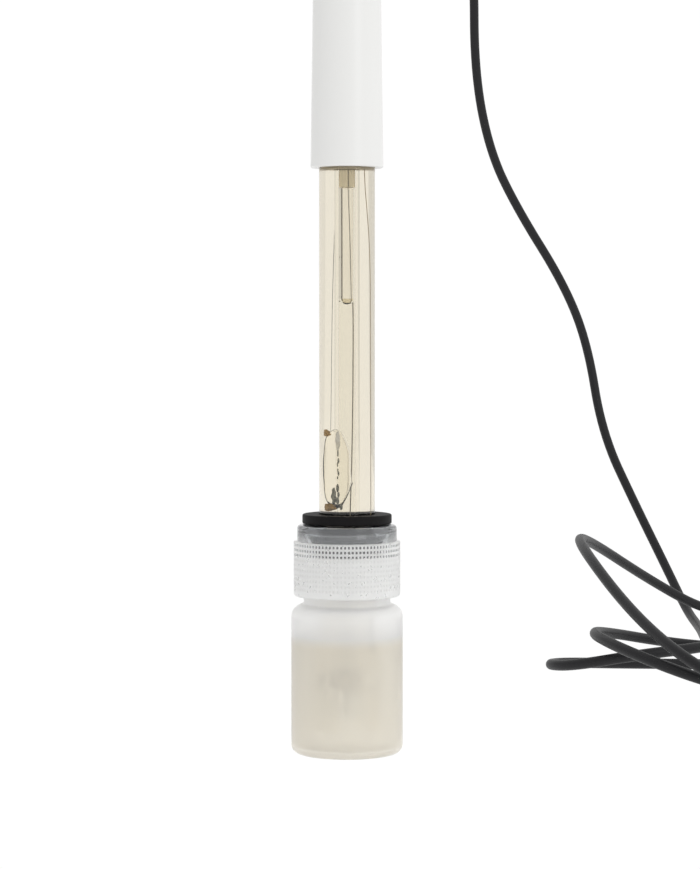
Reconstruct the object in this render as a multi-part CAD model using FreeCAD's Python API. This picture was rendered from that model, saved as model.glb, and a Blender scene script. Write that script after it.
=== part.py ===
"""Combination pH electrode standing in its screw-capped storage bottle, with its lead and BNC plug.

Millimetres. +Z is up and runs along the electrode; the origin is the centre of the bottle's foot.
The bottle stands on z = 0. The lead leaves the top, arches over to the back, and ends in loose turns.
"""
import FreeCAD, Part
import math
import os

Vector = FreeCAD.Vector

# ---- driving dimensions ------------------------------------------------------------------------
BODY_R = 6.0            # electrode body, 12 mm across: the standard plastic electrode
BODY_BORE_R = 4.8
TIP_Z = 5.1             # lowest point of the guard, standing in the solution
BODY_TOP_Z = 137.0      # end of the body tube, inside the white cap
WINDOW_TOP_Z = 13.8     # top of the guard's slots
FLOOR_Z = 14.6          # floor of the gel chamber
FLOOR_TOP_Z = 17.6
GUARD_BORE_R = 4.8
SLOT_WIDTH = 5.6
SLOT_COUNT = 4
SLOT_TURN = 12.0        # degrees that the first slot is turned from the front

STEM_R = 2.0            # inner glass stem
STEM_BORE_R = 1.3
STEM_FOOT_Z = 13.4
STEM_TOP_Z = 131.0
BULB_Z = 10.2
BULB_R = 3.3
BULB_WALL = 0.3
AIR_FOOT_Z = 96.2       # air column in the stem, over the inner filling
AIR_TOP_Z = 121.1
GEL_TOP_Z = 125.0

HEAD_FOOT_Z = 125.4     # white cap over the top of the body
HEAD_TOP_Z = 164.5
HEAD_FOOT_R = 7.8
HEAD_TOP_R = 7.25
HEAD_BORE_R = 6.03
HEAD_ROOF = 4.5
RELIEF_TOP_Z = 187.0    # end of the strain relief, where the lead comes free

BOTTLE_R = 12.0
BOTTLE_WALL = 1.1
BOTTLE_FLOOR = 1.3
BOTTLE_FOOT_FILLET = 1.7
SHOULDER_Z = 32.0
SHOULDER_FILLET = 2.6
NECK_R = 9.3
NECK_BORE_R = 7.9
NECK_TOP_Z = 42.0
LIQUID_Z = 24.6
LIQUID_GAP = 0.3        # between the solution and the electrode that is drawn out of it

CAP_FOOT_Z = 33.8
CAP_STEP_Z = 45.5       # top of the knurled skirt
CAP_TOP_Z = 49.1
CAP_SKIRT_R = 11.45
CAP_HEAD_R = 10.7
CAP_BORE_R = 10.3       # inside the skirt, over the thread
CAP_SEAT_Z = 44.75      # ceiling over the O-ring
CAP_HOLE_R = 6.3
CAP_CORE_Z = 47.4       # groove that cores the thick head out from below
CAP_CORE_R = (8.75, 9.6)
THREAD_PITCH = 3.0
THREAD_TURNS = 1.5
THREAD_DEPTH = 0.8
THREAD_ROOT = 1.1       # axial width of the thread at its root
THREAD_CREST = 0.6
THREAD_FOOT_Z = 36.3

RING_FIT = 0.06         # running fit of the rubber rings on the body
ORING_SECTION = 2.5
WASHER_R = 9.6
WASHER_FOOT_Z = 49.4
WASHER_TOP_Z = 51.4

CORD_D = 2.8            # the coax lead
ARC_SHARE = 0.45        # share of the shorter run that an arc of the lead takes up

# The lead's free stretch, from the strain relief to the bench, drawn up with the electrode
CABLE_ROUTE = [
    (0.0, 0.0, 187.0), (0.0, 0.0, 204.0), (2.2, 15.0, 230.0), (8.0, 46.0, 252.0), (15.0, 90.0, 264.0),
    (22.5, 138.0, 265.0), (29.5, 184.0, 255.0), (35.0, 223.0, 234.0), (39.4, 251.0, 204.4),
    (40.0, 259.0, 172.2), (45.1, 262.5, 147.4), (54.4, 267.0, 129.2), (69.6, 272.0, 105.8),
    (77.6, 274.0, 86.3), (81.6, 267.0, 57.7), (91.5, 255.5, 34.7), (99.8, 245.0, 16.3),
    (104.3, 230.0, 4.4), (105.3, 212.5, 1.9),
]
# Its stretch along the bench, in to the turns
LANDING_ROUTE = [
    (105.3, 212.1, 1.85), (105.2, 200.0, 1.45), (103.2, 184.0, 1.45), (101.0, 166.0, 3.6), (100.6, 150.0, 7.5),
]
# Its last stretch, out of the turns in one raised loop to the plug
TAIL_ROUTE = [
    (97.0, 49.5, 5.0), (82.9, 54.7, 10.5), (71.0, 84.7, 20.0), (59.5, 125.7, 35.7),
    (66.6, 166.7, 32.6), (87.8, 196.7, 18.0), (105.5, 207.5, 7.6), (115.0, 208.2, 7.25), (124.0, 208.2, 7.25),
]
HEAP_X = (48.5, 156.0)  # the loose turns' outer shape
HEAP_Y = (48.0, 152.0)
HEAP_CORNER = 38.0
HEAP_EYE_X = (64.0, 122.0)
HEAP_EYE_Y = (88.0, 122.0)
HEAP_EYE_CORNER = 16.0
HEAP_TOP = [(48.5, 6.5), (57.0, 15.5), (72.0, 15.0), (100.0, 12.5), (112.0, 7.5), (156.0, 4.5)]

PLUG_AT = (124.0, 208.2, 7.25)   # the plug lies along +X, from here
PIN_R = 0.68


# ---- helpers -----------------------------------------------------------------------------------
def cylinder(radius, low, high, x=0.0, y=0.0):
    return Part.makeCylinder(radius, high - low, Vector(x, y, low))


def ring(outer, inner, low, high):
    return cylinder(outer, low, high).cut(cylinder(inner, low, high))


def cone(low_radius, high_radius, low, high):
    return Part.makeCone(low_radius, high_radius, high - low, Vector(0, 0, low))


def rims(shape, radius, height):
    """The circular edges of that radius at that height."""
    return [
        e for e in shape.Edges
        if isinstance(e.Curve, Part.Circle)
        and abs(e.Curve.Radius - radius) < 0.01
        and abs(e.Curve.Center.z - height) < 0.01
    ]


def turned(profile):
    """The solid that a closed outline of (radius, height) points makes, turned about Z."""
    outline = Part.makePolygon([Vector(r, 0, z) for r, z in profile + profile[:1]])
    return Part.Face(outline).revolve(Vector(0, 0, 0), Vector(0, 0, 1), 360)


def rounded_path(points):
    """Straight runs joined by tangent arcs, and the radii of the arcs."""
    corners = [Vector(*p) for p in points]
    edges, radii = [], []
    start = corners[0]
    for before, corner, after in zip(corners, corners[1:], corners[2:]):
        back = before - corner
        ahead = after - corner
        cut = ARC_SHARE * min(back.Length, ahead.Length)
        half_turn = (math.pi - back.getAngle(ahead)) / 2
        radius = cut / math.tan(half_turn)
        back.normalize()
        ahead.normalize()
        inward = back + ahead
        inward.normalize()
        middle = corner + inward * (radius / math.cos(half_turn) - radius)
        first = corner + back * cut
        last = corner + ahead * cut
        edges.append(Part.LineSegment(start, first).toShape())
        edges.append(Part.Arc(first, middle, last).toShape())
        radii.append(radius)
        start = last
    edges.append(Part.LineSegment(start, corners[-1]).toShape())
    return Part.Wire(edges), radii


def swept(points, diameter):
    """A round bar along a rounded path."""
    path, radii = rounded_path(points)
    heading = Vector(*points[1]) - Vector(*points[0])
    section = Part.Wire(Part.makeCircle(diameter / 2, Vector(*points[0]), heading))
    bar = path.makePipeShell([section], True, False)
    return bar, path.Length, radii


def thread(root_r, crest_r, foot_z):
    """A trapezoid ridge wound round Z, from its root on a wall to its crest."""
    lap = 0.25 if crest_r > root_r else -0.25
    outline = [
        (root_r - lap, -THREAD_ROOT / 2), (crest_r, -THREAD_CREST / 2),
        (crest_r, THREAD_CREST / 2), (root_r - lap, THREAD_ROOT / 2),
    ]
    section = Part.makePolygon([Vector(r, 0, foot_z + z) for r, z in outline + outline[:1]])
    helix = Part.makeHelix(THREAD_PITCH, THREAD_PITCH * THREAD_TURNS, root_r)
    helix.translate(Vector(0, 0, foot_z))
    return Part.Wire(helix).makePipeShell([Part.Wire(section)], True, True)


# ---- bottle ------------------------------------------------------------------------------------
def bottle():
    outside = cylinder(BOTTLE_R, 0, SHOULDER_Z)
    outside = outside.makeFillet(BOTTLE_FOOT_FILLET, rims(outside, BOTTLE_R, 0))
    outside = outside.makeFillet(SHOULDER_FILLET, rims(outside, BOTTLE_R, SHOULDER_Z))
    outside = outside.fuse(cylinder(NECK_R, SHOULDER_Z - 1, NECK_TOP_Z))
    inside_r = BOTTLE_R - BOTTLE_WALL
    inside_top = SHOULDER_Z - BOTTLE_WALL
    inside = cylinder(inside_r, BOTTLE_FLOOR, inside_top)
    inside = inside.makeFillet(1.2, rims(inside, inside_r, BOTTLE_FLOOR))
    inside = inside.makeFillet(1.8, rims(inside, inside_r, inside_top))
    inside = inside.fuse(cylinder(NECK_BORE_R, inside_top - 1, NECK_TOP_Z))
    ridge = thread(NECK_R, NECK_R + THREAD_DEPTH, THREAD_FOOT_Z)
    return outside.fuse(ridge).cut(inside)


def storage_solution():
    radius = BOTTLE_R - BOTTLE_WALL
    liquid = cylinder(radius, BOTTLE_FLOOR, LIQUID_Z)
    liquid = liquid.makeFillet(1.2, rims(liquid, radius, BOTTLE_FLOOR))
    return liquid.cut(cylinder(BODY_R + LIQUID_GAP, TIP_Z - LIQUID_GAP, LIQUID_Z))


def storage_cap():
    outside = cylinder(CAP_SKIRT_R, CAP_FOOT_Z, CAP_STEP_Z)
    outside = outside.makeFillet(0.7, rims(outside, CAP_SKIRT_R, CAP_FOOT_Z))
    outside = outside.makeFillet(0.25, rims(outside, CAP_SKIRT_R, CAP_STEP_Z))
    head = cylinder(CAP_HEAD_R, CAP_STEP_Z - 1, CAP_TOP_Z)
    head = head.makeFillet(0.8, rims(head, CAP_HEAD_R, CAP_TOP_Z))
    core = ring(CAP_CORE_R[1], CAP_CORE_R[0], CAP_SEAT_Z - 1, CAP_CORE_Z)
    solid = outside.fuse(head)
    solid = solid.cut(cylinder(CAP_BORE_R, CAP_FOOT_Z, CAP_SEAT_Z))
    solid = solid.cut(cylinder(CAP_HOLE_R, CAP_SEAT_Z, CAP_TOP_Z))
    ridge = thread(CAP_BORE_R, CAP_BORE_R - THREAD_DEPTH, THREAD_FOOT_Z - THREAD_PITCH / 2)
    return solid.fuse(ridge).cut(core)


def cap_oring():
    middle_r = BODY_R + RING_FIT + ORING_SECTION / 2
    return Part.makeTorus(middle_r, ORING_SECTION / 2, Vector(0, 0, CAP_SEAT_Z - ORING_SECTION / 2 - 0.04))


def sealing_washer():
    washer = ring(WASHER_R, BODY_R + RING_FIT, WASHER_FOOT_Z, WASHER_TOP_Z)
    edges = rims(washer, WASHER_R, WASHER_FOOT_Z) + rims(washer, WASHER_R, WASHER_TOP_Z)
    return washer.makeFillet(0.35, edges)


# ---- electrode ---------------------------------------------------------------------------------
def guard_slots():
    """The slots between the guard's legs, open at the bottom."""
    height = WINDOW_TOP_Z - TIP_Z + 1
    slots = []
    for number in range(SLOT_COUNT):
        slot = Part.makeBox(SLOT_WIDTH, 5, height, Vector(-SLOT_WIDTH / 2, -8, TIP_Z - 1))
        slot.rotate(Vector(0, 0, 0), Vector(0, 0, 1), SLOT_TURN + 360 / SLOT_COUNT * number)
        slots.append(slot)
    return slots


def body_tube():
    tube = cylinder(BODY_R, TIP_Z, BODY_TOP_Z)
    tube = tube.makeFillet(0.5, rims(tube, BODY_R, TIP_Z))
    tube = tube.cut(cylinder(BODY_BORE_R, FLOOR_TOP_Z, BODY_TOP_Z))
    tube = tube.cut(cylinder(GUARD_BORE_R, TIP_Z, FLOOR_Z))
    tube = tube.cut(cylinder(STEM_R + 0.6, FLOOR_Z, FLOOR_TOP_Z))
    tube = tube.cut(cylinder(0.6, FLOOR_Z, FLOOR_TOP_Z, x=-3.7))
    for slot in guard_slots():
        tube = tube.cut(slot)
    return tube


def glass_bulb():
    ball = Part.makeSphere(BULB_R, Vector(0, 0, BULB_Z))
    hollow = Part.makeSphere(BULB_R - BULB_WALL, Vector(0, 0, BULB_Z))
    neck = cylinder(STEM_R, BULB_Z + 2.2, STEM_FOOT_Z)
    bore = cylinder(STEM_BORE_R, BULB_Z, STEM_FOOT_Z + 1)
    return ball.fuse(neck).cut(hollow).cut(bore).common(cylinder(BULB_R, BULB_Z - BULB_R, STEM_FOOT_Z))


def inner_filling():
    """Buffer in the bulb and stem, with a round meniscus under the air column."""
    hollow = Part.makeSphere(BULB_R - BULB_WALL, Vector(0, 0, BULB_Z))
    column = cylinder(STEM_BORE_R, BULB_Z, AIR_FOOT_Z + 1.2)
    dip = Part.makeSphere(STEM_BORE_R + 0.1, Vector(0, 0, AIR_FOOT_Z + STEM_BORE_R))
    return hollow.fuse(column).cut(dip).cut(inner_wire()).cut(inner_element())


def inner_wire():
    route = [
        (0.1, 0, 143), (0.15, 0, 121), (0.6, 0, 113), (0.95, 0, 97), (1.0, 0, 88),
        (0.85, 0, 66), (0.45, 0, 50), (0.1, 0, 30), (0, 0, 17),
    ]
    return swept(route, 0.4)[0]


def inner_element():
    return cylinder(0.5, 8.6, 17)


def reference_wire():
    route = [
        (2.7, -0.8, 143), (2.8, -0.8, 124), (3.4, -0.8, 116), (3.9, -0.8, 108), (4.1, -0.8, 96), (4.15, -0.7, 31),
    ]
    return swept(route, 0.3)[0]


def reference_gel():
    """Gel between stem and body. A bubble lies against the wall, low on the left."""
    gel = ring(BODY_BORE_R, STEM_R, FLOOR_TOP_Z, GEL_TOP_Z)
    bubble = cylinder(3.0, 55, 66.6, x=-2.6, y=-1.6)
    for height in (55, 66.6):
        bubble = bubble.fuse(Part.makeSphere(3.0, Vector(-2.6, -1.6, height)))
    gel = gel.cut(bubble)
    for embedded in (reference_wire(), reference_element()):
        gel = gel.cut(embedded)
    return gel


def reference_element():
    return cylinder(0.45, 22, 31, x=4.15, y=-0.7)


def top_seal():
    seal = cylinder(BODY_BORE_R, GEL_TOP_Z, STEM_TOP_Z + 1.5)
    seal = seal.cut(cylinder(STEM_R, GEL_TOP_Z, STEM_TOP_Z))
    for wire in (inner_wire(), reference_wire()):
        seal = seal.cut(wire)
    return seal


def stem_plug():
    return cylinder(STEM_BORE_R, AIR_TOP_Z, STEM_TOP_Z).cut(inner_wire())


def white_cap():
    shell = cone(HEAD_FOOT_R, HEAD_TOP_R, HEAD_FOOT_Z, HEAD_TOP_Z)
    shell = shell.makeFillet(1.2, rims(shell, HEAD_TOP_R, HEAD_TOP_Z))
    shell = shell.cut(cylinder(HEAD_BORE_R, HEAD_FOOT_Z, BODY_TOP_Z))
    shell = shell.cut(cylinder(HEAD_BORE_R - 0.5, BODY_TOP_Z, HEAD_TOP_Z - HEAD_ROOF))
    return shell.cut(cylinder(3.0, HEAD_TOP_Z - HEAD_ROOF - 0.5, HEAD_TOP_Z))


def strain_relief():
    """Flange under the cap's roof, a neck through it, and the tapered boot with its flex rings."""
    roof = HEAD_TOP_Z - HEAD_ROOF
    profile = [(CORD_D / 2, roof - 1.6), (4.4, roof - 1.6), (4.4, roof), (3.0, roof), (3.0, HEAD_TOP_Z)]
    rings = 5
    boot_foot = HEAD_TOP_Z + 2.5
    step = (RELIEF_TOP_Z - 1.5 - boot_foot) / rings
    profile += [(3.7, HEAD_TOP_Z), (3.7, boot_foot)]
    for number in range(rings):
        low = boot_foot + step * number
        radius = 3.35 - 0.22 * number
        groove_r = radius - 0.45
        groove_top = low + step * 0.4
        profile += [(groove_r, low), (groove_r, groove_top), (radius, groove_top), (radius, low + step)]
    profile += [(2.1, RELIEF_TOP_Z - 1.5), (2.1, RELIEF_TOP_Z), (CORD_D / 2, RELIEF_TOP_Z)]
    return turned(profile)


def cable_end():
    """The jacketed end of the lead, held in the strain relief."""
    return cylinder(CORD_D / 2, 153, RELIEF_TOP_Z)


def cable_core():
    """The lead's stripped inner insulation, down to the joint with the silver wire."""
    return cylinder(0.75, 148, 153)


def inner_joint_sleeve():
    """Shrink sleeve over the soldered joint of centre conductor and silver wire."""
    return cylinder(1.0, 142, 148).cut(cylinder(0.2, 142, 143.1, x=0.1))


def shield_joint():
    """The braid, twisted into a pigtail down to the reference wire, in its shrink sleeve."""
    route = [(1.4, -0.4, 153.0), (1.4, -0.4, 151.0), (2.7, -0.8, 146.5), (2.7, -0.8, 143.0)]
    return swept(route, 1.1)[0]


# ---- lead and plug -----------------------------------------------------------------------------
def cable_stretch(name, points):
    """One stretch of the lead, with its length, volume and radii printed."""
    tube, length, radii = swept(points, CORD_D)
    share = tube.Volume / (math.pi * CORD_D ** 2 / 4 * length)
    print("%s: length %.0f mm, volume over section times length %.4f" % (name, length, share))
    print("  radii in mm:", " ".join("%.0f" % r for r in radii))
    return tube


def rounded_slab(x_range, y_range, corner, height):
    width = x_range[1] - x_range[0]
    depth = y_range[1] - y_range[0]
    slab = Part.makeBox(width, depth, height, Vector(x_range[0], y_range[0], 0))
    upright = [e for e in slab.Edges if abs(e.BoundBox.ZLength - height) < 0.01]
    return slab.makeFillet(corner, upright)


def cable_coil():
    """Outer shape of the loose turns: a flat heap with an eye, thickest near its left end."""
    profile = [Vector(HEAP_TOP[0][0], 0, 0)] + [Vector(x, 0, z) for x, z in HEAP_TOP]
    profile += [Vector(HEAP_TOP[-1][0], 0, 0), profile[0]]
    heap = Part.Face(Part.makePolygon(profile)).extrude(Vector(0, HEAP_Y[1] + 1, 0))
    tallest = max(z for x, z in HEAP_TOP) + 1
    heap = heap.common(rounded_slab(HEAP_X, HEAP_Y, HEAP_CORNER, tallest))
    return heap.cut(rounded_slab(HEAP_EYE_X, HEAP_EYE_Y, HEAP_EYE_CORNER, tallest))


def along_plug(shape):
    """Lays a piece made along +Z, from 0 at the cable end, along +X at the plug's place."""
    laid = shape.copy()
    laid.rotate(Vector(0, 0, 0), Vector(0, 1, 0), 90)
    laid.translate(Vector(*PLUG_AT))
    return laid


def plug_boot():
    profile = [(1.4, 0), (2.3, 0), (3.9, 11), (4.2, 15.5), (3.25, 15.5), (3.25, 8), (1.4, 8)]
    return turned(profile)


def crimp_ferrule():
    return ring(3.2, 2.65, 8.2, 16.8)


def plug_body():
    """Crimp tail, journal for the sleeve with its clip groove, and the contact sleeve with four slits."""
    profile = [
        (1.4, 10), (2.6, 10), (2.6, 17), (4.85, 17), (4.85, 20), (4.45, 20), (4.45, 20.7), (4.85, 20.7),
        (4.85, 25.5), (4.05, 25.5), (4.05, 31), (3.5, 31), (3.5, 26), (3.0, 26), (3.0, 18), (1.4, 18),
    ]
    body = turned(profile)
    for number in range(4):
        slit = Part.makeBox(0.35, 2, 3.6, Vector(-0.175, 2.6, 27.6))
        slit.rotate(Vector(0, 0, 0), Vector(0, 0, 1), 45 + 90 * number)
        body = body.cut(slit)
    return body


def coupling_sleeve():
    """Sleeve that turns on the journal, with two bayonet grooves that end in windows."""
    profile = [
        (6.2, 19), (7.0, 19), (7.25, 19.4), (7.25, 25), (6.7, 25.4),
        (6.7, 33), (4.95, 33), (4.95, 23), (6.2, 23),
    ]
    sleeve = turned(profile)
    groove_steps = 8
    for side in range(2):
        entry = Part.makeBox(2.2, 2.0, 4.0, Vector(-1.1, 4.2, 29.2))
        entry.rotate(Vector(0, 0, 0), Vector(0, 0, 1), 180 * side)
        sleeve = sleeve.cut(entry)
        for step in range(groove_steps):
            part = step / (groove_steps - 1)
            groove = Part.makeBox(2.2, 2.0, 2.2, Vector(-1.1, 4.2, 29.2 - 2.6 * part))
            groove.rotate(Vector(0, 0, 0), Vector(0, 0, 1), 180 * side + 72 * part)
            sleeve = sleeve.cut(groove)
        window = Part.makeCylinder(1.2, 6, Vector(0, 3, 27.6), Vector(0, 1, 0))
        window.rotate(Vector(0, 0, 0), Vector(0, 0, 1), 180 * side + 72)
        sleeve = sleeve.cut(window)
    return sleeve


def plug_insulator():
    return cylinder(3.0, 18.2, 26).fuse(cylinder(2.35, 26, 30)).cut(cylinder(PIN_R, 18.2, 30))


def centre_pin():
    pin = cylinder(PIN_R, 12, 30.8)
    return pin.makeFillet(0.4, rims(pin, PIN_R, 30.8))


def sleeve_clip():
    clip = ring(5.8, 4.5, 20.05, 20.65)
    return clip.cut(Part.makeBox(2.5, 4, 2, Vector(-1.25, 3, 19.5)))


def wave_washer():
    return ring(5.9, 4.95, 20.9, 22.7)


def plug_gasket():
    return ring(4.65, 4.1, 25.6, 26.4)


PIECES = {
    "bottle": bottle,
    "storage_solution": storage_solution,
    "storage_cap": storage_cap,
    "cap_oring": cap_oring,
    "sealing_washer": sealing_washer,
    "body_tube": body_tube,
    "glass_stem": lambda: ring(STEM_R, STEM_BORE_R, STEM_FOOT_Z, STEM_TOP_Z),
    "glass_bulb": glass_bulb,
    "inner_filling": inner_filling,
    "inner_wire": inner_wire,
    "inner_element": inner_element,
    "reference_gel": reference_gel,
    "reference_wire": reference_wire,
    "reference_element": reference_element,
    "ceramic_junction": lambda: cylinder(0.6, FLOOR_Z, FLOOR_TOP_Z, x=-3.7),
    "stem_seal": lambda: ring(STEM_R + 0.6, STEM_R, FLOOR_Z, FLOOR_TOP_Z),
    "stem_plug": stem_plug,
    "top_seal": top_seal,
    "white_cap": white_cap,
    "strain_relief": strain_relief,
    "cable_end": cable_end,
    "cable_core": cable_core,
    "inner_joint_sleeve": inner_joint_sleeve,
    "shield_joint": shield_joint,
    "cable": lambda: cable_stretch("cable", CABLE_ROUTE),
    "cable_landing": lambda: cable_stretch("cable_landing", LANDING_ROUTE),
    "cable_coil": cable_coil,
    "cable_tail": lambda: cable_stretch("cable_tail", TAIL_ROUTE),
}
PLUG_PIECES = {
    "plug_boot": plug_boot,
    "crimp_ferrule": crimp_ferrule,
    "plug_body": plug_body,
    "coupling_sleeve": coupling_sleeve,
    "plug_insulator": plug_insulator,
    "centre_pin": centre_pin,
    "sleeve_clip": sleeve_clip,
    "wave_washer": wave_washer,
    "plug_gasket": plug_gasket,
}

os.makedirs("parts", exist_ok=True)
for name, make in PIECES.items():
    make().exportStep("parts/%s.step" % name)
for name, make in PLUG_PIECES.items():
    along_plug(make()).exportStep("parts/%s.step" % name)
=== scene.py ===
import bpy
import bmesh
import math
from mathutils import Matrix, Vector


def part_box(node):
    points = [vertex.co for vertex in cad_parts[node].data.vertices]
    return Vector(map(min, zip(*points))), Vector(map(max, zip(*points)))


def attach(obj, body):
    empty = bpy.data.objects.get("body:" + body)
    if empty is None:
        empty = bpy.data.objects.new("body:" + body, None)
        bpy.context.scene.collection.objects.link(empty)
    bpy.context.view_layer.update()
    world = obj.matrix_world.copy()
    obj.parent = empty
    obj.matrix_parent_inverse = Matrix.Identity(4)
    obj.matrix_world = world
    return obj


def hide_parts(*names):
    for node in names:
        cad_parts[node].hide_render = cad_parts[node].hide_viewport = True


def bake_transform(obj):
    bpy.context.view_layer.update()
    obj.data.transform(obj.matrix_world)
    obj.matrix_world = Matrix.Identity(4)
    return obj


# Looks of a combination pH electrode in its storage bottle, with its lead.
# Sizes are in millimetres unless a comment says otherwise. MM turns them into the frame's metres.

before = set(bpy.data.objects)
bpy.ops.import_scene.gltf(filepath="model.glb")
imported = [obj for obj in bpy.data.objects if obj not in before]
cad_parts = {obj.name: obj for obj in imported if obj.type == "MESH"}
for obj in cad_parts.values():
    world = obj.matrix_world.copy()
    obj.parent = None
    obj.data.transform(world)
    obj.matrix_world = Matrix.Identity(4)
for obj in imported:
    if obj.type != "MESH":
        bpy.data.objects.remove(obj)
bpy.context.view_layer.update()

MM = 0.001


# ---- driving sizes -------------------------------------------------------------------------------
def reach(node):
    """Half the width of a round upright node of the frame, its foot and its top."""
    low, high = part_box(node)
    return (high.x - low.x) / 2 / MM, low.z / MM, high.z / MM


BOTTLE_R, FOOT_Z, NECK_TOP_Z = reach("bottle")
LIQUID_R, LIQUID_FOOT_Z, LIQUID_Z = reach("storage_solution")
_, CAP_FOOT_Z, CAP_TOP_Z = reach("storage_cap")
BODY_R, TIP_Z, BODY_TOP_Z = reach("body_tube")
BODY_BORE_R, GEL_FOOT_Z, _ = reach("reference_gel")
STEM_R, STEM_FOOT_Z, STEM_TOP_Z = reach("glass_stem")
STEM_BORE_R, AIR_TOP_Z, _ = reach("stem_plug")
WASHER_R, WASHER_FOOT_Z, WASHER_TOP_Z = reach("sealing_washer")
HEAD_R, HEAD_FOOT_Z, HEAD_TOP_Z = reach("white_cap")

# Sizes of the CAD that the boxes of its nodes don't give
AIR_FOOT_Z = 96.2
SHOULDER_Z = 32.0
NECK_R = 9.3
NECK_BORE_R = 7.9
CAP_STEP_Z = 45.5
CORD_D = 2.8
NEAR = 0.02  # two radii closer than this are the same one

# Refractive indices of one clear thing against the next
PLASTIC_AIR = 1.56
PLASTIC_GEL = 1.56 / 1.36
PLASTIC_WATER = 1.56 / 1.33
GLASS_GEL = 1.50 / 1.36
GLASS_WATER = 1.50 / 1.34
GLASS_AIR = 1.50
FROSTED_AIR = 1.46
FROSTED_WATER = 1.12
CAP_AIR = 1.48
FILLING_AIR = 1.34
WATER_AIR = 1.33
BUBBLE_GEL = 1.16
RESIN_GLASS = 1.05
BULB_WATER = 1.12


# ---- materials -----------------------------------------------------------------------------------
NOISE_DETAIL = 3.0
BUMP_HEIGHT = 0.1 * MM
MIX_FACTOR, MIX_A, MIX_B, MIX_OUT = 0, 6, 7, 2  # sockets of a Mix node for colours


def fade_by_height(material, place, tone, low_color, low_z, high_z):
    """The tone above high_z and low_color below low_z, with a soft change between them."""
    nodes = material.node_tree.nodes
    links = material.node_tree.links
    parts = nodes.new("ShaderNodeSeparateXYZ")
    links.new(place.outputs["Object"], parts.inputs[0])
    span = nodes.new("ShaderNodeMapRange")
    span.interpolation_type = "SMOOTHSTEP"
    span.inputs["From Min"].default_value = low_z * MM
    span.inputs["From Max"].default_value = high_z * MM
    links.new(parts.outputs["Z"], span.inputs["Value"])
    mix = nodes.new("ShaderNodeMix")
    mix.data_type = "RGBA"
    mix.inputs[MIX_A].default_value = [*low_color, 1]
    links.new(span.outputs["Result"], mix.inputs[MIX_FACTOR])
    links.new(tone, mix.inputs[MIX_B])
    return mix.outputs[MIX_OUT]


def shader(name, color, rough, spread=0.04, grain=900.0, bump=0.0, rough_spread=0.04,
           below=None, lit=None, **values):
    """A Principled material whose colour and roughness vary a little, with an optional fine bump.

    below is a second colour, and the heights between which it gives way to the first. The glow
    is painted light: a weak emission that stands for light the plastic passes on, given as its
    strength and the heights between which it sets in."""
    material = bpy.data.materials.new(name)
    material.use_nodes = True
    nodes = material.node_tree.nodes
    links = material.node_tree.links
    principled = nodes["Principled BSDF"]
    place = nodes.new("ShaderNodeTexCoord")
    noise = nodes.new("ShaderNodeTexNoise")
    noise.inputs["Scale"].default_value = grain
    noise.inputs["Detail"].default_value = NOISE_DETAIL
    links.new(place.outputs["Object"], noise.inputs["Vector"])
    mix = nodes.new("ShaderNodeMix")
    mix.data_type = "RGBA"
    mix.inputs[MIX_A].default_value = [c * (1 - spread) for c in color] + [1]
    mix.inputs[MIX_B].default_value = [min(1, c * (1 + spread)) for c in color] + [1]
    links.new(noise.outputs["Fac"], mix.inputs[MIX_FACTOR])
    tone = mix.outputs[MIX_OUT]
    if below:
        tone = fade_by_height(material, place, tone, *below)
    links.new(tone, principled.inputs["Base Color"])
    # painted light: above the given heights the material glows weakly in its own colour
    if lit:
        strength, low_z, high_z = lit
        glow = fade_by_height(material, place, tone, (0, 0, 0), low_z, high_z)
        links.new(glow, principled.inputs["Emission Color"])
        principled.inputs["Emission Strength"].default_value = strength
    span = nodes.new("ShaderNodeMapRange")
    span.inputs["To Min"].default_value = max(0, rough - rough_spread)
    span.inputs["To Max"].default_value = rough + rough_spread
    links.new(noise.outputs["Fac"], span.inputs["Value"])
    links.new(span.outputs["Result"], principled.inputs["Roughness"])
    if bump:
        relief = nodes.new("ShaderNodeBump")
        relief.inputs["Strength"].default_value = bump
        relief.inputs["Distance"].default_value = BUMP_HEIGHT
        links.new(noise.outputs["Fac"], relief.inputs["Height"])
        links.new(relief.outputs["Normal"], principled.inputs["Normal"])
    for socket, value in values.items():
        principled.inputs[socket.replace("_", " ")].default_value = value
    return material


def clear(name, color, rough, ior, **more):
    """A see-through material, for the face between two things of that relative index."""
    options = dict(spread=0.015, rough_spread=rough * 0.3, IOR=ior, Transmission_Weight=1.0)
    options.update(more)
    return shader(name, color, rough, **options)


AMBER = (0.91, 0.878, 0.805)
amber_air = clear("amber_plastic_outside", AMBER, 0.012, PLASTIC_AIR, grain=250, bump=0.05)
amber_gel = clear("amber_plastic_bore", AMBER, 0.008, PLASTIC_GEL, grain=120)
amber_wet = clear("amber_plastic_wetted", AMBER, 0.02, PLASTIC_WATER)
glass_gel = clear("stem_glass_in_gel", (0.97, 0.965, 0.94), 0.004, GLASS_GEL)
glass_wet = clear("stem_glass_filled", (0.99, 0.98, 0.95), 0.004, GLASS_WATER)
glass_air = clear(
    "stem_glass_over_air", (0.97, 0.95, 0.90), 0.01, GLASS_AIR, grain=700, bump=0.06)
meniscus_look = clear("filling_surface", (0.75, 0.68, 0.52), 0.02, FILLING_AIR)
bubble_look = clear("bubble_wall", (0.985, 0.965, 0.91), 0.04, BUBBLE_GEL, grain=260, bump=0.3)
droplet_look = clear("droplet", (0.9, 0.88, 0.8), 0.01, WATER_AIR)
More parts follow.
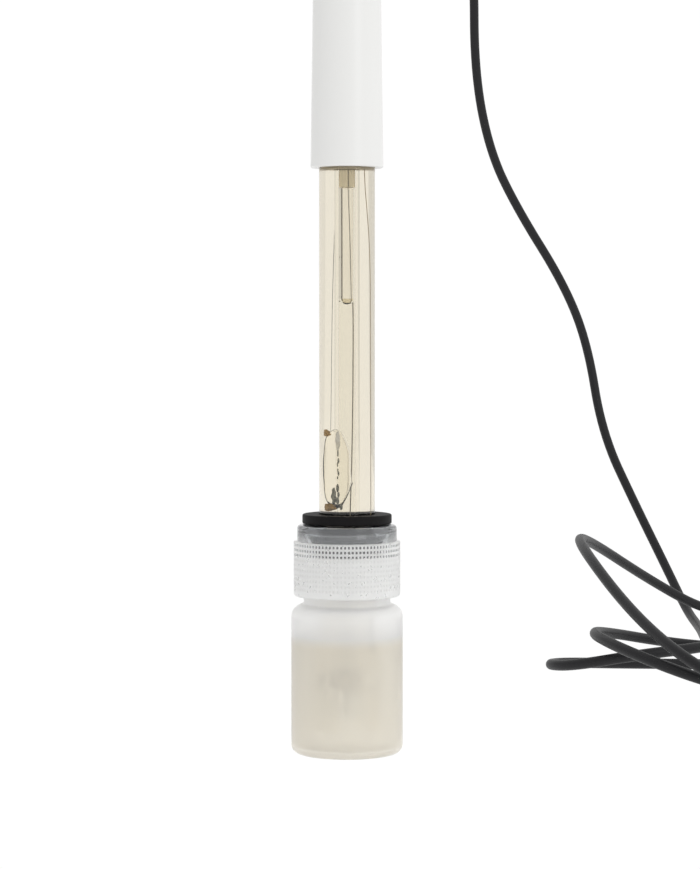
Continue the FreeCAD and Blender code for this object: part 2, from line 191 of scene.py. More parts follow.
# Painted light: above the solution the outside glows weakly. The glow stands for light passed on to
# the shoulder and neck, which lie shaded under the cap.
frosted_outside = clear(
    "frosted_bottle_outside", (0.985, 0.982, 0.97), 0.34, FROSTED_AIR, grain=350, bump=0.12,
    Transmission_Weight=0.5,
    below=((0.95, 0.905, 0.805), LIQUID_Z - 1.5, LIQUID_Z + 1.5),
    lit=(0.10, LIQUID_Z - 2, SHOULDER_Z))
frosted_dry = clear(
    "frosted_bottle_inside", (0.99, 0.988, 0.975), 0.28, FROSTED_AIR, grain=240,
    Transmission_Weight=0.8)
frosted_wet = clear(
    "frosted_bottle_wetted", (0.965, 0.94, 0.87), 0.2, FROSTED_WATER, grain=240,
    Transmission_Weight=0.8)
liquid_top = clear("solution_surface", (0.94, 0.90, 0.82), 0.03, WATER_AIR)
cap_scuffed = clear(
    "cap_plastic_scuffed", (0.985, 0.985, 0.975), 0.30, CAP_AIR, grain=900,
    Transmission_Weight=0.4)
# Painted shade: the pits below the clear ones are a greyer white than the ribs, standing for the shade
# in them.
cap_pits_painted_shade = clear(
    "cap_plastic_pits_painted_shade", (0.90, 0.90, 0.89), 0.30, CAP_AIR, grain=900, Transmission_Weight=0.4)
# Painted shade: a near black look on the cap's top under the washer and on parts of its hole's wall.
# It stands for the shade there and the dark rubber seen through the plastic.
cap_painted_shade = clear(
    "cap_plastic_painted_shade", (0.05, 0.056, 0.068), 0.35, CAP_AIR, Transmission_Weight=0.15)
cap_clear = clear(
    "cap_plastic_clear", (0.93, 0.947, 0.96), 0.10, CAP_AIR, grain=500, Transmission_Weight=0.9)
plug_tan = clear("stem_plug_resin", (0.90, 0.83, 0.68), 0.4, RESIN_GLASS, Transmission_Weight=0.7)
bulb_look = clear("bulb_glass", (0.97, 0.97, 0.95), 0.01, BULB_WATER)
film_look = shader("film_in_stem", (0.10, 0.09, 0.055), 0.5, spread=0.6, grain=1600)
white_look = shader(
    "white_plastic", (0.82, 0.82, 0.805), 0.28, spread=0.01, grain=60, rough_spread=0.01)
rubber_look = shader(
    "black_rubber", (0.006, 0.0055, 0.006), 0.6, spread=0.5, grain=1400, bump=0.35,
    Specular_IOR_Level=0.13)
jacket_look = shader(
    "cable_jacket", (0.013, 0.013, 0.0145), 0.45, spread=0.25, grain=1900, bump=0.3,
    Specular_IOR_Level=0.23)
silver_look = shader(
    "silver_wire", (0.32, 0.29, 0.24), 0.5, spread=0.6, grain=2500, bump=0.2)
brown_look = shader(
    "tarnished_wire", (0.50, 0.38, 0.20), 0.5, spread=0.35, grain=2500, bump=0.2)
chloride_look = shader(
    "silver_chloride", (0.72, 0.69, 0.62), 0.75, spread=0.15, grain=2500, bump=0.6)
residue_look = shader(
    "gel_residue", (0.60, 0.37, 0.12), 0.5, spread=0.4, grain=1800, bump=0.6)
ceramic_look = shader(
    "unglazed_ceramic", (0.80, 0.78, 0.72), 0.85, spread=0.06, grain=3000, bump=0.5)
potting_look = shader("potting", (0.74, 0.64, 0.45), 0.5, spread=0.12, grain=700, bump=0.2)
seal_look = shader("bulkhead_resin", (0.88, 0.83, 0.73), 0.5, spread=0.05, grain=700, bump=0.1)
# Painted highlight: a bright white look for a lump by the bubble's top, standing for the bubble's
# glint.
painted_glint_look = shader("painted_bubble_highlight", (0.97, 0.97, 0.95), 0.3, spread=0.03, grain=2600, bump=0.4)
string_look = shader("gel_string", (0.27, 0.28, 0.25), 0.3, spread=0.5, grain=2600, bump=0.5)
sleeve_look = shader("shrink_sleeve", (0.02, 0.02, 0.02), 0.45, spread=0.2, grain=900, bump=0.2)
core_look = shader("core_insulation", (0.80, 0.80, 0.75), 0.4, spread=0.03, grain=900, bump=0.05)
nickel_look = shader(
    "nickel_plating", (0.62, 0.60, 0.56), 0.2, spread=0.05, grain=1500, bump=0.08, Metallic=1.0)
gold_look = shader(
    "gold_plating", (0.80, 0.56, 0.22), 0.2, spread=0.05, grain=1500, bump=0.05, Metallic=1.0)
insulator_look = shader(
    "white_insulator", (0.85, 0.85, 0.82), 0.4, spread=0.03, grain=900, bump=0.05)
spring_look = shader(
    "spring_steel", (0.45, 0.45, 0.44), 0.3, spread=0.1, grain=1500, bump=0.1, Metallic=1.0)


# ---- mesh code -----------------------------------------------------------------------------------
SUPPORT = 0.04  # a row this far outside each end of a fillet keeps its shading off the flat faces
MERGE = 1e-7  # metres


def piece(name, mesh, looks, body, replaced=()):
    """Links a mesh as a piece of the model, riding on its body."""
    for look in looks:
        mesh.materials.append(look)
    obj = bpy.data.objects.new(name, mesh)
    bpy.context.scene.collection.objects.link(obj)
    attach(obj, body)
    if replaced:
        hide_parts(*replaced)


def eased(outline, steps=5):
    """The outline's rows (r, z, fillet, look) as points (r, z, look), its filleted corners as arcs."""
    points = []
    for number, (r, z, fillet, look) in enumerate(outline):
        if not fillet:
            points.append((r, z, look))
            continue
        corner = Vector((r, 0, z))
        before = outline[number - 1]
        after = outline[(number + 1) % len(outline)]
        back = (Vector((before[0], 0, before[1])) - corner).normalized()
        ahead = (Vector((after[0], 0, after[1])) - corner).normalized()
        half = back.angle(ahead) / 2
        centre = corner + (back + ahead).normalized() * fillet / math.sin(half)
        first = corner + back * fillet / math.tan(half) - centre
        last = corner + ahead * fillet / math.tan(half) - centre
        arc = [centre + first.slerp(last, step / steps) * fillet for step in range(steps + 1)]
        for spot in [centre + first + back * SUPPORT, *arc, centre + last + ahead * SUPPORT]:
            points.append((spot.x, spot.z, look))
    return points


def spaced(low, high, count):
    """Evenly spaced numbers from low to high, both included."""
    return [low + (high - low) * number / count for number in range(count + 1)]


def ring_faces(rings, around, closed=False):
    """Faces between rings of points, ring after ring. A closed shape joins the last to the first."""
    faces = []
    for ring in range(rings if closed else rings - 1):
        low = ring * around
        high = (ring + 1) % rings * around
        for step in range(around):
            beside = (step + 1) % around
            faces.append((low + step, low + beside, high + beside, high + step))
    return faces


def finished(name, verts, faces, looks=(), sharp=35):
    """A smooth-shaded mesh whose edges are sharp above that angle, in degrees."""
    mesh = bpy.data.meshes.new(name)
    mesh.from_pydata(verts, [], faces)
    if looks:
        mesh.polygons.foreach_set("material_index", looks)
    work = bmesh.new()
    work.from_mesh(mesh)
    bmesh.ops.remove_doubles(work, verts=work.verts, dist=MERGE)
    work.to_mesh(mesh)
    work.free()
    mesh.polygons.foreach_set("use_smooth", [True] * len(mesh.polygons))
    mesh.set_sharp_from_angle(angle=math.radians(sharp))
    return mesh


def lathe(name, outline, steps=144, closed=True, relief=None, paint=None, sharp=35):
    """A mesh turned about Z. relief gives a row's radius, and paint a face's look, by angle.

    A row's look is the look of the faces between it and the next row."""
    points = eased(outline)
    verts = []
    for r, z, _ in points:
        for step in range(steps):
            angle = 2 * math.pi * step / steps
            radius = relief(angle, r, z) if relief else r
            verts.append((radius * math.cos(angle) * MM, radius * math.sin(angle) * MM, z * MM))
    faces = ring_faces(len(points), steps, closed)
    looks = []
    for row, (r, z, look) in enumerate(points[:len(faces) // steps]):
        middle_z = (z + points[(row + 1) % len(points)][1]) / 2
        for step in range(steps):
            angle = 2 * math.pi * (step + 0.5) / steps
            looks.append(paint(angle, r, middle_z, look) if paint else look)
    return finished(name, verts, faces, looks, sharp)


def tube_mesh(name, line, radius, sides=16):
    """A round bar along points, closed at both ends. All in metres."""
    verts = []
    across = Vector((1, 0, 0))
    for number, spot in enumerate(line):
        heading = line[min(number + 1, len(line) - 1)] - line[max(number - 1, 0)]
        heading.normalize()
        across = (across - heading * across.dot(heading)).normalized()
        other = heading.cross(across)
        for side in range(sides):
            angle = 2 * math.pi * side / sides
            verts.append(spot + (across * math.cos(angle) + other * math.sin(angle)) * radius)
    faces = ring_faces(len(line), sides)
    faces.append(tuple(reversed(range(sides))))
    faces.append(tuple(range(len(verts) - sides, len(verts))))
    return finished(name, verts, faces, sharp=60)


def nurbs_line(route, resolution=10):
    """Points in metres along the smooth line that a route of control points gives."""
    curve = bpy.data.curves.new("route", "CURVE")
    curve.dimensions = "3D"
    curve.resolution_u = resolution
    spline = curve.splines.new("NURBS")
    spline.points.add(len(route) - 1)
    for target, point in zip(spline.points, route):
        target.co = (*(value * MM for value in point), 1)
    spline.order_u = 3
    spline.use_endpoint_u = True
    holder = bpy.data.objects.new("route", curve)
    mesh = bpy.data.meshes.new_from_object(holder)
    line = [v.co.copy() for v in mesh.vertices]
    bpy.data.objects.remove(holder)
    bpy.data.curves.remove(curve)
    bpy.data.meshes.remove(mesh)
    return line


# ---- camera, floor and light ---------------------------------------------------------------------
# Places and lengths in this section are in metres.
CAMERA_AT = (0.00064, -0.5357, 0.0908)
CAMERA_DOWN = 2.39  # degrees
CAMERA_NEAR = 0.01
SENSOR_MM = 36.0
LENS_MM = 103.57
BENCH_LIGHT = 1.02
WORLD_LEFT = 0.73
WORLD_RIGHT = 0.98
KEY_AT = (0.55, -0.75, 0.5)
KEY_AIM = (0, 0, 0.1)
KEY_WIDTH = 0.35
KEY_HEIGHT = 0.6
KEY_WATTS = 1.0
WHITE = (1, 1, 1, 1)


def camera():
    data = bpy.data.cameras.new("camera")
    data.sensor_width = SENSOR_MM
    data.lens = LENS_MM
    data.clip_start = CAMERA_NEAR
    obj = bpy.data.objects.new("camera", data)
    obj.location = CAMERA_AT
    obj.rotation_euler = (math.radians(90 - CAMERA_DOWN), 0, 0)
    bpy.context.scene.collection.objects.link(obj)
    bpy.context.scene.camera = obj


def glow_material(name, strength):
    material = bpy.data.materials.new(name)
    material.use_nodes = True
    nodes = material.node_tree.nodes
    nodes.remove(nodes["Principled BSDF"])
    emission = nodes.new("ShaderNodeEmission")
    emission.inputs["Color"].default_value = WHITE
    emission.inputs["Strength"].default_value = strength
    output = nodes["Material Output"]
    material.node_tree.links.new(emission.outputs[0], output.inputs["Surface"])
    return material


def stage():
    """A white bench that runs up into a white backdrop behind the object."""
    wide, near, far, tall, bend = 0.75, -0.75, 1.5, 1.3, 0.3
    bend_steps = 8
    profile = [(near, 0.0), (far - bend, 0.0)]
    for step in range(1, bend_steps + 1):
        angle = math.pi / 2 * step / bend_steps
        profile.append((far - bend + bend * math.sin(angle), bend - bend * math.cos(angle)))
    profile.append((far, tall))
    verts = [(x, y, z) for y, z in profile for x in (-wide, wide)]
    faces = [(2 * k, 2 * k + 1, 2 * k + 3, 2 * k + 2) for k in range(len(profile) - 1)]
    mesh = finished("bench", verts, faces, sharp=80)
    mesh.materials.append(glow_material("white_bench", BENCH_LIGHT))
    obj = bpy.data.objects.new("bench", mesh)
    bpy.context.scene.collection.objects.link(obj)


def lights():
    """A white room, darker on the left, and one soft light at the front right."""
    world = bpy.data.worlds.new("studio")
    world.use_nodes = True
    nodes = world.node_tree.nodes
    links = world.node_tree.links
    place = nodes.new("ShaderNodeTexCoord")
    parts = nodes.new("ShaderNodeSeparateXYZ")
    links.new(place.outputs["Generated"], parts.inputs[0])
    side = nodes.new("ShaderNodeMapRange")
    side.inputs["From Min"].default_value = -1
    side.inputs["To Min"].default_value = WORLD_LEFT
    side.inputs["To Max"].default_value = WORLD_RIGHT
    links.new(parts.outputs["X"], side.inputs["Value"])
    nodes["Background"].inputs["Color"].default_value = WHITE
    links.new(side.outputs["Result"], nodes["Background"].inputs["Strength"])
    bpy.context.scene.world = world
    key = bpy.data.lights.new("key", "AREA")
    key.shape = "RECTANGLE"
    key.size = KEY_WIDTH
    key.size_y = KEY_HEIGHT
    key.energy = KEY_WATTS
    obj = bpy.data.objects.new("key", key)
    obj.location = KEY_AT
    obj.rotation_euler = (Vector(KEY_AIM) - obj.location).to_track_quat("-Z", "Y").to_euler()
    bpy.context.scene.collection.objects.link(obj)
    bpy.context.scene.view_settings.view_transform = "Standard"


# ---- the lead ------------------------------------------------------------------------------------
FREE_ROUTE = [
    (0.0, 0.0, 187.0), (0.0, 0.0, 204.0), (2.2, 15.0, 230.0), (8.0, 46.0, 252.0),
    (15.0, 90.0, 264.0), (22.5, 138.0, 265.0), (29.5, 184.0, 255.0), (35.0, 223.0, 234.0),
    (39.4, 251.0, 204.4), (40.0, 259.0, 172.2), (45.1, 262.5, 147.4), (54.4, 267.0, 129.2),
    (69.6, 272.0, 105.8), (77.6, 274.0, 86.3), (81.6, 267.0, 57.7), (91.5, 255.5, 34.7),
    (99.8, 245.0, 16.3), (104.3, 230.0, 4.4), (105.6, 210.0, 1.45), (103.6, 187.0, 1.45),
    (101.2, 166.0, 3.4), (100.4, 147.0, 8.2), (100.3, 129.0, 9.6), (99.1, 113.0, 10.0),
    (92.0, 97.5, 10.4),
]
TAIL_ROUTE = [
    (103.9, 43.7, 1.45), (82.9, 54.7, 10.5), (71.0, 84.7, 20.0), (60.8, 125.7, 34.9),
    (66.6, 166.7, 32.6), (87.8, 196.7, 18.0), (105.5, 207.5, 7.6), (115.0, 208.2, 7.25),
    (124.0, 208.2, 7.25),
]
# Each half turn of the loose turns: start (x, y, z), outermost x and z, end (x, y, z), the degrees
# of the half turn at which it has the outermost z, and how blunt its end is
HALF_TURNS = [
    ((96.5, 86.5, 11.5), (51.3, 4.4), (96.5, 130.4, 1.45), 80.0, 0.95),
    ((96.5, 130.4, 1.45), (134.0, 1.45), (97.7, 56.4, 4.4), 90.0, 1.0),
    ((97.7, 56.4, 4.4), (61.5, 14.0), (97.7, 140.0, 5.0), 86.5, 1.45),
    ((97.7, 140.0, 5.0), (152.0, 1.45), (103.9, 43.7, 1.45), 90.0, 1.0),
]
POINTS_PER_HALF = 6


def half_turn(start, outermost, end, crest, blunt):
    """Points of half a turn from start round to its outermost x, without the last one."""
    points = []
    for number in range(POINTS_PER_HALF):
        degrees = 180 * number / POINTS_PER_HALF
        swing = math.cos(math.radians(degrees))
        out = math.sin(math.radians(degrees)) ** blunt
        chord_x = start[0] * (1 + swing) / 2 + end[0] * (1 - swing) / 2
        x = chord_x + (outermost[0] - (start[0] + end[0]) / 2) * out
        y = (start[1] + end[1]) / 2 + (start[1] - end[1]) / 2 * swing
        if degrees < crest:
            rise = (1 - math.cos(math.pi * degrees / crest)) / 2
            z = start[2] + (outermost[1] - start[2]) * rise
        else:
            rise = (1 - math.cos(math.pi * (degrees - crest) / (180 - crest))) / 2
            z = outermost[1] + (end[2] - outermost[1]) * rise
        points.append((x, y, z))
    return points


def lead():
    """The whole lead as one cord, from the strain relief to the plug."""
    turns = []
    for half in HALF_TURNS:
        turns += half_turn(*half)
    line = nurbs_line(FREE_ROUTE + turns[1:] + TAIL_ROUTE)
    mesh = tube_mesh("lead", line, CORD_D / 2 * MM)
    mesh.materials.append(jacket_look)
    obj = bpy.data.objects.new("lead", mesh)
    bpy.context.scene.collection.objects.link(obj)
    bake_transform(obj)
    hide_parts("cable", "cable_landing", "cable_coil", "cable_tail")


# ---- bottle --------------------------------------------------------------------------------------
DIMPLE_R = 7.5
FOOT_RIM_R = 8.6
NECK_ROWS = 28
THREAD_PITCH = 3.0
THREAD_FOOT_Z = 36.3
THREAD_TURNS = 1.5
THREAD_HEIGHT = 0.8
THREAD_HALF_WIDTH = 0.55
THREAD_FLANK = 0.25


def bottle_thread(angle, r, z):
    """Radius of the neck with one and a half turns of thread on it."""
    if r < NECK_R - NEAR or z < SHOULDER_Z + 1:
        return r
    height = 0.0
    for lap in range(2):
        turn = angle / (2 * math.pi) + lap
        if turn <= THREAD_TURNS:
            off = abs(z - THREAD_FOOT_Z - THREAD_PITCH * turn)
            height = max(height, min(1.0, max(0.0, (THREAD_HALF_WIDTH - off) / THREAD_FLANK)))
    return r + THREAD_HEIGHT * height


def bottle():
    """Frosted bottle: outside, dry inside and wetted inside have looks 0, 1 and 2."""
    ceiling_z = SHOULDER_Z - (BOTTLE_R - LIQUID_R)
    outline = [
        (0, FOOT_Z + 0.5, 0, 0), (DIMPLE_R, FOOT_Z + 0.4, 0, 0), (FOOT_RIM_R, FOOT_Z, 0, 0),
        (BOTTLE_R, FOOT_Z, 1.7, 0), (BOTTLE_R, SHOULDER_Z, 2.6, 0), (NECK_R, SHOULDER_Z, 0.5, 0),
    ]
    outline += [
        (NECK_R, z, 0, 0) for z in spaced(SHOULDER_Z + 1.2, NECK_TOP_Z - 0.4, NECK_ROWS)]
    outline += [
        (NECK_R - 0.3, NECK_TOP_Z, 0, 0), (NECK_BORE_R, NECK_TOP_Z, 0, 1),
        (NECK_BORE_R, ceiling_z, 0.5, 1), (LIQUID_R, ceiling_z, 1.8, 1),
        (LIQUID_R, LIQUID_Z, 0, 2), (LIQUID_R, LIQUID_FOOT_Z, 1.2, 2), (0, LIQUID_FOOT_Z, 0, 2),
    ]
    mesh = lathe("storage_bottle", outline, steps=160, closed=False, relief=bottle_thread)
    piece("storage_bottle", mesh, [frosted_outside, frosted_dry, frosted_wet], "bottle",
          ["bottle"])
    climb = 0.5
    surface = [
        (LIQUID_R, LIQUID_Z + climb, 0, 0), (LIQUID_R - 0.35, LIQUID_Z + 0.1, 0, 0),
        (LIQUID_R - 1.2, LIQUID_Z, 0, 0), (BODY_R + 1.2, LIQUID_Z, 0, 0),
        (BODY_R + 0.35, LIQUID_Z + 0.1, 0, 0), (BODY_R, LIQUID_Z + climb, 0, 0),
    ]
    mesh = lathe("solution_surface", surface, closed=False)
    piece("solution_surface", mesh, [liquid_top], "bottle", ["storage_solution"])


# ---- cap and rings -------------------------------------------------------------------------------
KNURLS = 88
KNURL_ROWS = 10
KNURL_STEPS = 8  # mesh steps in each knurl, round the cap and up it
KNURL_FOOT_Z = CAP_FOOT_Z + 1.3
KNURL_DEPTH = 0.17
LOW_KNURL_DEPTH = KNURL_DEPTH * 0.6
CLEAR_PITS_Z = 42.3
SKIRT_R = 11.45
SKIRT_BORE_R = 10.3
CAP_TOP_R = 10.7
SEAT_R = 9.5
HOLE_R = 6.3
HOLE_CLEAR = (46.2, 47.3)  # heights between which the hole's wall isn't dark
LID_FOOT_Z = 44.75
GROOVE_TOP_Z = 47.4
GROOVE = (8.75, 9.6)
O_RING_R = 7.31
O_RING_Z = 43.46
O_RING_SECTION_R = 1.25


def pit(angle, z):
    """How far a spot of the skirt lies in one of its pits, from 0 on the ribs to 1 in a pit."""
    if not KNURL_FOOT_Z < z < CAP_STEP_Z - 0.1:
        return 0.0
    pitch = (CAP_STEP_Z - KNURL_FOOT_Z) / KNURL_ROWS
    across = 0.5 - 0.5 * math.cos(KNURLS * angle)
    up = 0.5 - 0.5 * math.cos(2 * math.pi * (z - KNURL_FOOT_Z) / pitch)
    return (across * up) ** 1.5


def knurl(angle, r, z):
    """Radius of the skirt with its pits, which are shallower in the lower rows."""
    depth = KNURL_DEPTH if z > CLEAR_PITS_Z else LOW_KNURL_DEPTH
    return r - depth * pit(angle, z) if r > SKIRT_R - NEAR else r


def knurl_looks(angle, r, z, look):
    """Clear in the topmost pits, hazier and darker with painted shade in the others, scuffed on the
    ribs between them.
    """
    if r > SKIRT_R - NEAR and pit(angle, z) > 0.3:
        return 1 if z > CLEAR_PITS_Z else 2
    return look


def storage_cap():
    """Knurled cap: scuffed, clear, hazy pits with painted shade and a seat painted dark as shade have
    looks 0, 1, 2 and 3.

    The dark look on the top and in the hole is painted shade, standing for the rubber seen through
    the plastic."""
    outline = [(SKIRT_R, CAP_FOOT_Z, 0.6, 0)]
    outline += [
        (SKIRT_R, z, 0, 0) for z in spaced(KNURL_FOOT_Z, CAP_STEP_Z, KNURL_ROWS * KNURL_STEPS)]
    outline += [
        (CAP_TOP_R, CAP_STEP_Z + 0.15, 0, 1), (CAP_TOP_R, CAP_TOP_Z, 0.8, 1),
        (SEAT_R, CAP_TOP_Z, 0, 3), (HOLE_R, CAP_TOP_Z, 0, 3), (HOLE_R, HOLE_CLEAR[1], 0, 1),
        (HOLE_R, HOLE_CLEAR[0], 0, 3), (HOLE_R, LID_FOOT_Z, 0, 1), (GROOVE[0], LID_FOOT_Z, 0, 1),
        (GROOVE[0], GROOVE_TOP_Z, 0, 1), (GROOVE[1], GROOVE_TOP_Z, 0, 1),
        (GROOVE[1], LID_FOOT_Z, 0, 1), (SKIRT_BORE_R, LID_FOOT_Z, 0, 1),
        (SKIRT_BORE_R, CAP_FOOT_Z, 0, 0),
    ]
    mesh = lathe("knurled_cap", outline, steps=KNURLS * KNURL_STEPS, relief=knurl,
                 paint=knurl_looks, sharp=80)
    piece("knurled_cap", mesh, [cap_scuffed, cap_clear, cap_pits_painted_shade, cap_painted_shade], "cap",
          ["storage_cap"])


def washer():
    """The washer on the cap and the O-ring in it."""
    bore_r = BODY_R + 0.06
    outline = [
        (WASHER_R, WASHER_FOOT_Z, 0.3, 0), (WASHER_R, WASHER_TOP_Z, 0.35, 0),
        (bore_r, WASHER_TOP_Z, 0.15, 0), (bore_r, WASHER_FOOT_Z, 0, 0),
    ]
    piece("rubber_washer", lathe("rubber_washer", outline), [rubber_look], "washer",
          ["sealing_washer"])
    section = []
    for degrees in range(0, 360, 20):
        angle = math.radians(degrees)
        section.append((O_RING_R + O_RING_SECTION_R * math.cos(angle),
                        O_RING_Z + O_RING_SECTION_R * math.sin(angle), 0, 0))
    piece("o_ring", lathe("o_ring", section), [rubber_look], "seal",
          ["cap_oring"])


# ---- electrode -----------------------------------------------------------------------------------
GUARD_TOP_Z = 13.8
BULKHEAD_Z = 14.6
BULKHEAD_BORE_R = STEM_R + 0.6
SLOT_TURN = 12.0  # degrees
SLOT_HALF_WIDTH = 2.8
WALL_MIDDLE_R = 5.4
ARC_STEPS = 10


def electrode_body():
    """Clear tube. Its looks are 0 in air, 1 against the gel inside, 2 in the solution."""
    outline = [
        (BODY_R, GUARD_TOP_Z, 0, 2), (BODY_R, LIQUID_Z, 0, 0), (BODY_R, BODY_TOP_Z, 0, 0),
        (BODY_BORE_R, BODY_TOP_Z, 0, 1), (BODY_BORE_R, GEL_FOOT_Z, 0.5, 1),
        (BULKHEAD_BORE_R, GEL_FOOT_Z, 0, 1), (BULKHEAD_BORE_R, BULKHEAD_Z, 0, 2),
        (BODY_BORE_R, BULKHEAD_Z, 0, 2), (BODY_BORE_R, GUARD_TOP_Z, 0, 2),
    ]
    mesh = lathe("electrode_body", outline, steps=192)
    piece("electrode_body", mesh, [amber_air, amber_gel, amber_wet], "probe",
          ["body_tube", "reference_gel"])


def tip_guard():
    """The four legs between the slots of the tube's foot."""
    spread = 45 - math.degrees(math.asin(SLOT_HALF_WIDTH / WALL_MIDDLE_R))
    section = [
        (BODY_R, TIP_Z), (BODY_R, GUARD_TOP_Z), (BODY_BORE_R, GUARD_TOP_Z), (BODY_BORE_R, TIP_Z)]
    verts, faces = [], []
    for leg in range(4):
        middle = -90 + SLOT_TURN + 45 + 90 * leg
        base = len(verts)
        for step in range(ARC_STEPS + 1):
            angle = math.radians(middle - spread + 2 * spread * step / ARC_STEPS)
            for r, z in section:
                verts.append((r * math.cos(angle) * MM, r * math.sin(angle) * MM, z * MM))
        for step in range(ARC_STEPS):
            low = base + step * 4
            for k in range(4):
                faces.append((low + k, low + 4 + k, low + 4 + (k + 1) % 4, low + (k + 1) % 4))
        faces.append((base, base + 1, base + 2, base + 3))
        end = base + ARC_STEPS * 4
        faces.append((end + 3, end + 2, end + 1, end))
    piece("tip_guard", finished("tip_guard", verts, faces), [amber_wet], "probe")


def stem():
    """Glass stem. Its looks are 0 in the gel, 1 against the filling and 2 over the air."""
    bowl_z = AIR_FOOT_Z + STEM_BORE_R
    outline = [
        (STEM_R, STEM_FOOT_Z, 0, 0), (STEM_R, STEM_TOP_Z, 0, 0), (STEM_BORE_R, STEM_TOP_Z, 0, 1),
        (STEM_BORE_R, AIR_TOP_Z, 0, 2), (STEM_BORE_R, bowl_z, 0, 1),
        (STEM_BORE_R, STEM_FOOT_Z, 0, 1),
    ]
    mesh = lathe("glass_stem_tube", outline, steps=96)
    piece("glass_stem_tube", mesh, [glass_gel, glass_wet, glass_air], "probe",
          ["glass_stem", "inner_filling", "stem_plug"])
    bowl = []
    for degrees in spaced(0, 90, 8):
        angle = math.radians(degrees)
        bowl.append((STEM_BORE_R * math.cos(angle), bowl_z - STEM_BORE_R * math.sin(angle), 0, 0))
    mesh = lathe("filling_surface", bowl, steps=48, closed=False)
    piece("filling_surface", mesh, [meniscus_look], "probe")
    resin_r = STEM_BORE_R - 0.02
    low_z, high_z = AIR_TOP_Z + 0.1, STEM_TOP_Z - 0.1
    plug = [(0, low_z, 0, 0), (resin_r - 0.3, low_z, 0, 0), (resin_r, AIR_TOP_Z, 0, 0),
            (resin_r, high_z, 0, 0), (0, high_z, 0, 0)]
    mesh = lathe("stem_plug_resin", plug, steps=48, closed=False)
    piece("stem_plug_resin", mesh, [plug_tan], "probe")


def blob(name, centre, size, look, keep=None, wobble=0.0, inward=False, rows=24):
    """A rounded lump in the electrode, of half sizes x, y and z.

    keep holds its points between two radii about the electrode's axis."""
    verts = []
    around = rows * 2
    for row in range(rows + 1):
        up = math.pi * row / rows
        for step in range(around):
            angle = 2 * math.pi * step / around
            swell = 1 + wobble * math.sin(3 * angle + 2.1 * up) * math.sin(up)
            swell += wobble * math.sin(7 * up + angle)
            spot = [
                centre[0] + size[0] * swell * math.sin(up) * math.cos(angle),
                centre[1] + size[1] * swell * math.sin(up) * math.sin(angle),
                centre[2] - size[2] * math.cos(up),
            ]
            if keep:
                far = math.hypot(spot[0], spot[1])
                held = min(max(far, keep[0]), keep[1])
                spot[0] *= held / far
                spot[1] *= held / far
            verts.append([value * MM for value in spot])
    faces = ring_faces(rows + 1, around)
    if inward:
        faces = [tuple(reversed(face)) for face in faces]
    piece(name, finished(name, verts, faces, sharp=80), [look], "probe")


def strand(name, route, radius, look, replaced=()):
    """A thin wire or thread of the electrode."""
    mesh = tube_mesh(name, nurbs_line(route), radius * MM, sides=8)
    piece(name, mesh, [look], "probe", replaced)


def wires():
    inner = [
        (0.1, 0, 143), (0.15, 0, 121), (0.6, 0, 113), (0.95, 0, 97), (1.0, 0, 88),
        (0.85, 0, 66), (0.45, 0, 50), (0.1, 0, 30), (0, 0, 17),
    ]
    strand("inner_silver_wire", inner, 0.09, silver_look, ["inner_wire"])
    outer = [
        (2.7, -0.8, 143), (2.8, -0.8, 124), (3.4, -0.8, 116), (3.9, -0.8, 108), (4.1, -0.8, 96),
        (4.15, -0.7, 31),
    ]
    strand("outer_silver_wire", outer, 0.07, brown_look, ["reference_wire"])
    film = [(-1.12, -0.1, 96.8), (-1.12, -0.1, 104.0), (-1.13, -0.1, 112.0), (-1.15, -0.1, 121.0)]
    strand("film_in_stem", film, 0.15, film_look)


# Lumps of dried gel and one painted highlight by the bubble: name, centre, half sizes, look, wobble
LUMPS = [
    ("residue_top", (-3.9, -2.2, 68.9), (0.8, 0.4, 0.75), residue_look, 0.2),
    ("residue_foot", (-3.5, -2.6, 53.0), (1.5, 0.5, 0.8), residue_look, 0.15),
    ("residue_edge", (-2.5, -3.4, 55.4), (0.45, 0.35, 1.9), string_look, 0.25),
    ("bubble_glint_lump", (-1.75, -3.75, 67.3), (0.42, 0.3, 2.1), painted_glint_look, 0.15),
]
# Height, half width and half height of each bead of the chain in front of the stem
BEADS = [
    (64.6, 0.16, 0.8), (63.0, 0.2, 0.6), (62.2, 0.12, 0.5), (61.0, 0.14, 0.4), (60.3, 0.2, 0.5),
    (59.4, 0.16, 0.35), (57.2, 0.3, 0.9), (55.8, 0.26, 0.6), (54.5, 0.3, 0.8),
]
# x, height and radius of each droplet in the air column
DROPLETS = [(-1.0, 104.6, 0.16), (-1.02, 106.4, 0.2), (-1.02, 97.9, 0.16)]
SMALL_ROWS = 10


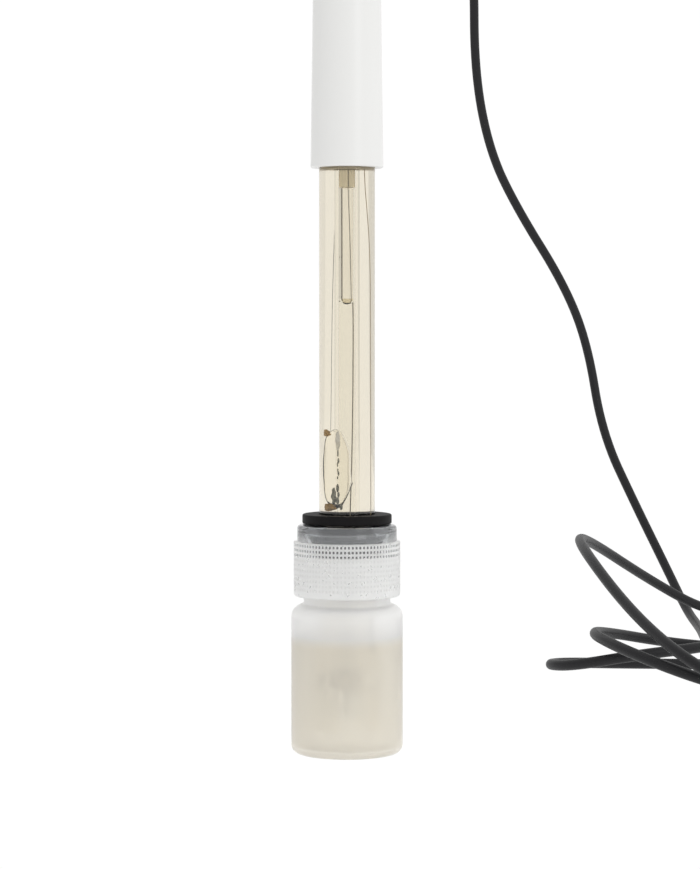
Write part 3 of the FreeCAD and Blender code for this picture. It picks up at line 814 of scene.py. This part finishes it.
def gel_details():
    """The bubble low in the gel, dried gel and a painted highlight round it, and droplets in the
    stem's air column.
    """
    between = (STEM_R + 0.12, BODY_BORE_R - 0.06)
    blob("gel_bubble", (-2.1, -2.6, 61.2), (2.9, 1.9, 8.5), bubble_look, keep=between,
         wobble=0.04, inward=True)
    for name, centre, size, look, wobble in LUMPS:
        blob(name, centre, size, look, keep=between, wobble=wobble)
    for number, (height, size, tall) in enumerate(BEADS):
        spot = (-1.75 + 0.12 * math.sin(2 * number), -3.9, height)
        blob("bead_%d" % number, spot, (size, size, tall), string_look, rows=SMALL_ROWS)
    thread = [(1.1, -3.9, 58.4), (0.1, -4.1, 55.4), (-1.3, -3.9, 52.8)]
    strand("gel_thread", thread, 0.08, string_look)
    blob("thread_end", (-1.1, -3.9, 53.2), (0.3, 0.2, 0.7), string_look, keep=between,
         rows=SMALL_ROWS)
    for number, (x, z, size) in enumerate(DROPLETS):
        blob("droplet_%d" % number, (x, -0.55, z), (size, size, size * 1.3), droplet_look,
             rows=SMALL_ROWS)


HEAD_EDGE_R = 7.25
LEAD_HOLE_R = 3.05
HEAD_LID = 4.5
HEAD_BORE_R = 5.5
SOCKET_R = 6.03


def white_cap():
    lid_foot_z = HEAD_TOP_Z - HEAD_LID
    outline = [
        (HEAD_R, HEAD_FOOT_Z, 0.25, 0), (HEAD_EDGE_R, HEAD_TOP_Z, 1.2, 0),
        (LEAD_HOLE_R, HEAD_TOP_Z, 0.3, 0), (LEAD_HOLE_R, lid_foot_z, 0, 0),
        (HEAD_BORE_R, lid_foot_z, 0, 0), (HEAD_BORE_R, BODY_TOP_Z, 0, 0),
        (SOCKET_R, BODY_TOP_Z, 0, 0), (SOCKET_R, HEAD_FOOT_Z, 0.1, 0),
    ]
    mesh = lathe("white_head", outline, steps=192)
    piece("white_head", mesh, [white_look], "probe", ["white_cap"])


# ---- nodes of the CAD that are shown as they are -------------------------------------------------
CAD_LOOKS = {
    "glass_bulb": bulb_look, "inner_wire": silver_look, "inner_element": chloride_look,
    "reference_wire": brown_look, "reference_element": chloride_look,
    "ceramic_junction": ceramic_look, "stem_seal": seal_look, "top_seal": potting_look,
    "strain_relief": rubber_look, "cable_end": jacket_look, "cable_core": core_look,
    "inner_joint_sleeve": sleeve_look, "shield_joint": sleeve_look, "plug_boot": rubber_look,
    "crimp_ferrule": nickel_look, "plug_body": nickel_look, "coupling_sleeve": nickel_look,
    "plug_insulator": insulator_look, "centre_pin": gold_look, "sleeve_clip": spring_look,
    "wave_washer": spring_look, "plug_gasket": rubber_look,
}


def dress_cad():
    for node, look in CAD_LOOKS.items():
        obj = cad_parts[node]
        if not obj.material_slots:
            obj.data.materials.append(look)
        for holder in obj.material_slots:
            holder.material = look


camera()
lead()
stage()
lights()
bottle()
storage_cap()
washer()
electrode_body()
tip_guard()
stem()
wires()
gel_details()
white_cap()
dress_cad()
